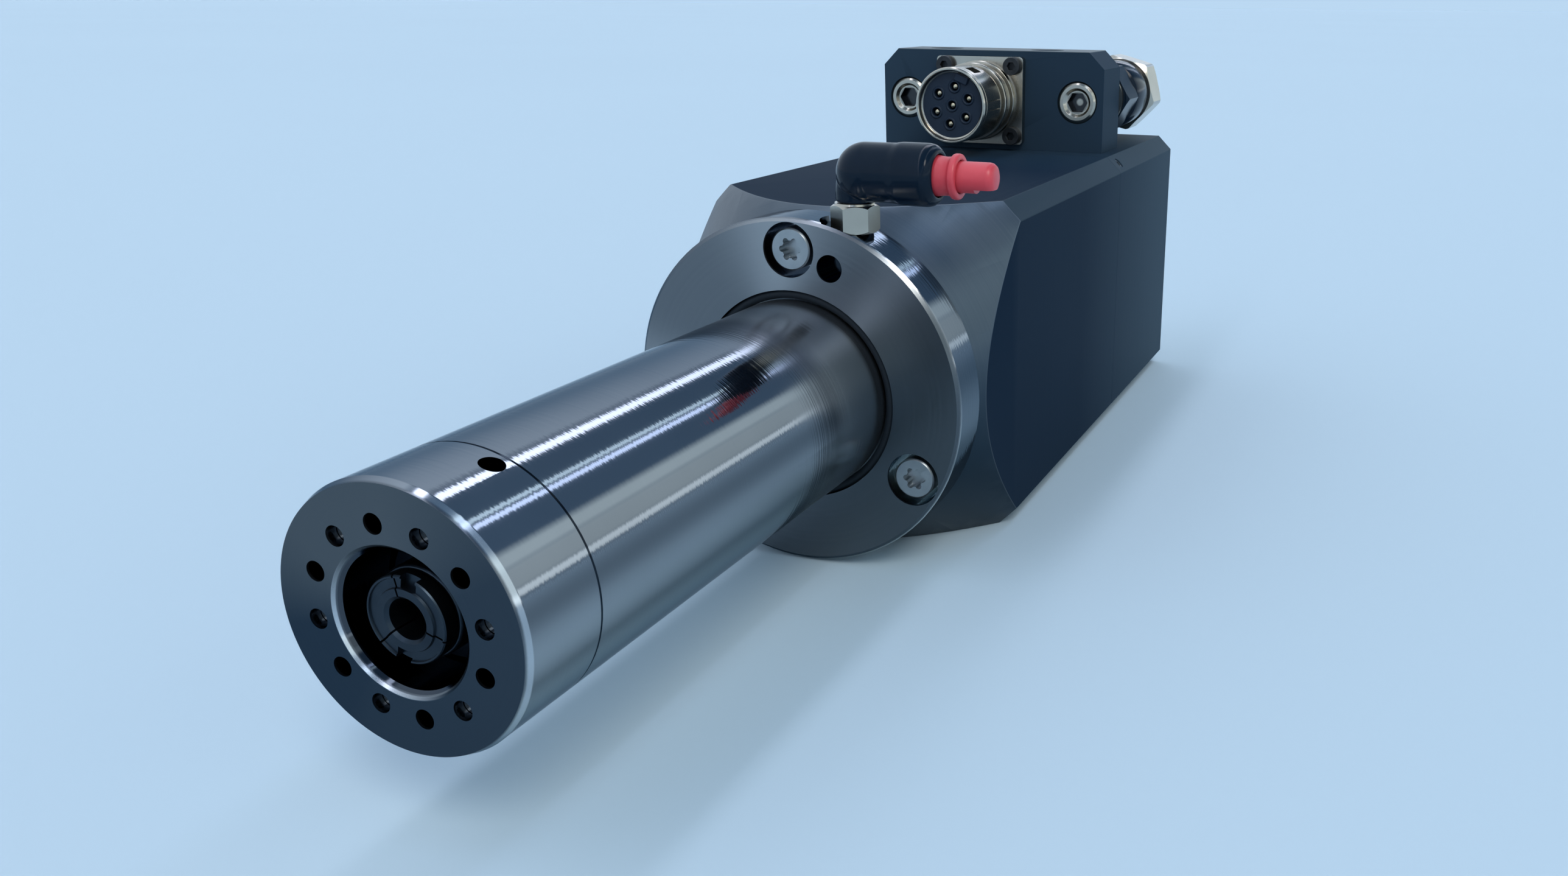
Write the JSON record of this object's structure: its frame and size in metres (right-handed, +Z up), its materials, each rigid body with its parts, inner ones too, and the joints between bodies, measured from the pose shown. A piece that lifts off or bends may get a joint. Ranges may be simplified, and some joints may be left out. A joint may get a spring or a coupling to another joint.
{
  "type": "engraving spindle",
  "caption": "Motor spindle with a slim round clamping nose, collet, screwed flange, square motor housing, connector block and sealing air elbow.",
  "frame": {"origin": "on the spindle axis, in the plane of the flange's front face, where the clamping nose ends", "axes": "+Y along the spindle axis from the nose to the rear cover, +Z up towards the connector block, +X to the right as seen from behind the nose"},
  "size_m": [0.0784, 0.2987, 0.1005],
  "materials": {
    "sleeve_steel": "ground and polished steel",
    "cap_steel": "dark satin steel",
    "shaft_steel": "dark ground steel",
    "screw_steel": "zinc plated steel",
    "bearing_steel": "ground bearing steel",
    "plain_steel": "turned steel",
    "spring_steel": "blued spring steel",
    "anodised_dark": "dark satin anodised aluminium",
    "bare_aluminium": "turned aluminium",
    "laminations": "stacked electrical sheet",
    "copper": "enamelled copper wire, varnished",
    "brass": "turned brass",
    "nickel": "nickel plated brass",
    "black_screws": "black oxide screws",
    "black_insert": "black insulating plastic",
    "gold_contacts": "gold plated contacts",
    "dark_sleeve": "dark glossy sleeve",
    "elbow_black": "glossy black plastic",
    "plug_red": "coral red plastic",
    "seal_rubber": "black rubber"
  },
  "bodies": {
    "root": {"nose_sleeve": "sleeve_steel", "front_cap": "cap_steel", "bearing_clamp_ring": "cap_steel", "flange_screws": "screw_steel", "rear_cover_screws": "screw_steel", "block_screws": "screw_steel", "cap_screws": "screw_steel", "cover_plug": "screw_steel", "front_outer_rings": "bearing_steel", "rear_outer_rings": "bearing_steel", "front_outer_spacer": "plain_steel", "preload_spring": "plain_steel", "main_housing": "anodised_dark", "rear_cover": "anodised_dark", "connector_block": "anodised_dark", "rear_bearing_shield": "bare_aluminium", "cylinder_plate": "bare_aluminium", "stator_core": "laminations", "stator_windings": "copper", "power_connector_shell": "nickel", "hose_fitting_stem": "nickel", "elbow_stud": "nickel", "air_plugs": "nickel", "power_connector_screws": "black_screws", "power_connector_insert": "black_insert", "power_contacts": "gold_contacts", "hose_fitting_sleeve": "dark_sleeve", "flange_seal_ring": "seal_rubber", "block_seal": "seal_rubber"},
    "shaft": {"spindle_shaft": "shaft_steel", "front_inner_rings": "bearing_steel", "front_inner_spacer": "plain_steel", "front_balls": "bearing_steel", "front_lock_nut": "plain_steel", "rotor_core": "laminations", "balance_rings": "brass", "rotor_spacer": "plain_steel", "rear_inner_rings": "bearing_steel", "rear_balls": "bearing_steel", "rear_lock_nut": "plain_steel", "disc_springs": "spring_steel"},
    "drawbar_unit": {"drawbar": "plain_steel", "drawbar_head": "plain_steel", "collet": "shaft_steel"},
    "piston": {"release_piston": "bare_aluminium", "piston_seals": "seal_rubber", "return_springs": "spring_steel"},
    "elbow": {"elbow_body": "elbow_black"},
    "tube_release": {"release_ring": "plug_red"},
    "plug": {"blanking_plug": "plug_red"},
    "union_nut": {"hose_union_nut": "nickel"}
  },
  "joints": [
    {"name": "shaft_spin", "type": "hinge", "parent": "root", "child": "shaft", "pos_m": [0, 0, 0], "axis": [0, 1, 0], "continuous": true},
    {"name": "drawbar_stroke", "type": "slide", "parent": "shaft", "child": "drawbar_unit", "axis": [0, -1, 0], "range_m": [0, 0.003], "deforming": ["disc_springs"]},
    {"name": "piston_stroke", "type": "slide", "parent": "root", "child": "piston", "axis": [0, -1, 0], "range_m": [0, 0.003], "stiffness_N_per_m": 2000, "springref_m": -0.002, "deforming": ["return_springs"]},
    {"name": "elbow_swivel", "type": "hinge", "parent": "root", "child": "elbow", "pos_m": [0.0122, 0.0055, 0.0453], "axis": [0, 0, 1], "continuous": true},
    {"name": "release_press", "type": "slide", "parent": "elbow", "child": "tube_release", "axis": [-1, 0, 0], "range_m": [0, 0.0012], "stiffness_N_per_m": 400, "springref_m": -0.001},
    {"name": "plug_pull", "type": "slide", "parent": "elbow", "child": "plug", "axis": [1, 0, 0], "range_m": [0, 0.016]},
    {"name": "union_nut_spin", "type": "hinge", "parent": "root", "child": "union_nut", "pos_m": [0.0217, 0.183, 0.05025], "axis": [0, 1, 0], "continuous": true}
  ],
  "couplings": [
    {"joint": "drawbar_stroke", "follows": "piston_stroke", "ratio": 1}
  ]
}
